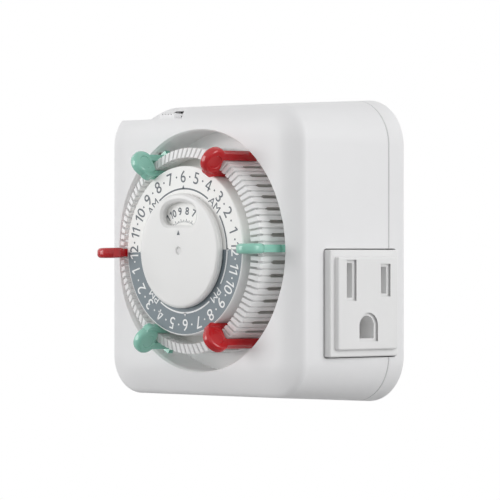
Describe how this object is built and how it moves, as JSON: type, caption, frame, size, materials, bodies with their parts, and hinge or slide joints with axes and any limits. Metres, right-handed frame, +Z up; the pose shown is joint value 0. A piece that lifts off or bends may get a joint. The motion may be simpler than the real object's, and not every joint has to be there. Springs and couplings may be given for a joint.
{
  "type": "plug-in timer switch",
  "caption": "Plug-in 24-hour mechanical timer switch with pull-off on and off clips round its dial, a grounded outlet in its side and a plug at its back.",
  "frame": {"origin": "on the wall, level with the dial's axis", "axes": "+Y into the wall along the plug's blades, +Z up, +X to the outlet's side"},
  "size_m": [0.0791, 0.0705, 0.08],
  "materials": {
    "housing": "moulded ABS, off-white, fine satin grain",
    "outlet_plastic": "moulded nylon, off-white, satin",
    "inner_plastic": "moulded phenolic, dark grey, dull",
    "drum": "moulded acetal, white, slightly translucent",
    "dial_plate": "moulded ABS, slate grey with a white printed half",
    "cap": "moulded ABS, pale grey, smooth",
    "tripper_on": "moulded acetal, mint green, smooth",
    "tripper_off": "moulded acetal, red, smooth",
    "gear": "moulded acetal, natural",
    "steel": "rolled and machined steel, bright",
    "blade_brass": "stamped brass, tumbled",
    "contact_metal": "stamped bronze with silver faces"
  },
  "bodies": {
    "case": {"front_housing": "housing", "rear_cover": "housing", "receptacle_face": "outlet_plastic", "contact_box": "inner_plastic", "line_contact": "blade_brass", "neutral_contact": "blade_brass", "ground_contact": "blade_brass", "blade_carrier": "inner_plastic", "line_blade": "blade_brass", "neutral_blade": "blade_brass", "ground_pin": "blade_brass", "centre_cap": "cap", "centre_post": "steel", "idler_pin": "steel", "motor_case": "steel", "movement_plate": "steel", "lever_pin": "steel", "fixed_contact": "contact_metal", "case_screws": "steel", "plate_screws": "steel"},
    "dial": {"dial_drum": "drum", "dial_plate": "dial_plate", "dial_gear": "gear", "friction_spring": "steel"},
    "idler": {"idler_gear": "gear"},
    "motor_output": {"motor_pinion": "gear"},
    "lever": {"trip_lever": "gear", "moving_contact": "contact_metal"},
    "override": {"override_slider": "housing"},
    "tripper_on_1_clip": {"tripper_on_1": "tripper_on"},
    "tripper_off_1_clip": {"tripper_off_1": "tripper_off"},
    "tripper_on_2_clip": {"tripper_on_2": "tripper_on"},
    "tripper_off_2_clip": {"tripper_off_2": "tripper_off"},
    "tripper_on_3_clip": {"tripper_on_3": "tripper_on"},
    "tripper_off_3_clip": {"tripper_off_3": "tripper_off"}
  },
  "joints": [
    {"name": "dial_spin", "type": "hinge", "parent": "case", "child": "dial", "pos_m": [0, -0.04, 0], "axis": [0, 1, 0], "continuous": true},
    {"name": "idler_spin", "type": "hinge", "parent": "case", "child": "idler", "pos_m": [-0.01527, -0.023, -0.01527], "axis": [0, 1, 0], "continuous": true},
    {"name": "motor_spin", "type": "hinge", "parent": "case", "child": "motor_output", "pos_m": [-0.01527, -0.022, 0.00213], "axis": [0, 1, 0], "continuous": true},
    {"name": "trip_swing", "type": "hinge", "parent": "case", "child": "lever", "pos_m": [-0.025, -0.033, 0.0275], "axis": [0, 1, 0], "range_deg": [-8, 8]},
    {"name": "override_slide", "type": "slide", "parent": "case", "child": "override", "axis": [1, 0, 0], "range_m": [0, 0.0046]},
    {"name": "tripper_on_1_pull", "type": "slide", "parent": "dial", "child": "tripper_on_1_clip", "axis": [0, -1, 0], "range_m": [0, 0.013]},
    {"name": "tripper_off_1_pull", "type": "slide", "parent": "dial", "child": "tripper_off_1_clip", "axis": [0, -1, 0], "range_m": [0, 0.013]},
    {"name": "tripper_on_2_pull", "type": "slide", "parent": "dial", "child": "tripper_on_2_clip", "axis": [0, -1, 0], "range_m": [0, 0.013]},
    {"name": "tripper_off_2_pull", "type": "slide", "parent": "dial", "child": "tripper_off_2_clip", "axis": [0, -1, 0], "range_m": [0, 0.013]},
    {"name": "tripper_on_3_pull", "type": "slide", "parent": "dial", "child": "tripper_on_3_clip", "axis": [0, -1, 0], "range_m": [0, 0.013]},
    {"name": "tripper_off_3_pull", "type": "slide", "parent": "dial", "child": "tripper_off_3_clip", "axis": [0, -1, 0], "range_m": [0, 0.013]}
  ],
  "couplings": [
    {"joint": "idler_spin", "follows": "dial_spin", "ratio": -5},
    {"joint": "motor_spin", "follows": "dial_spin", "ratio": 24}
  ]
}
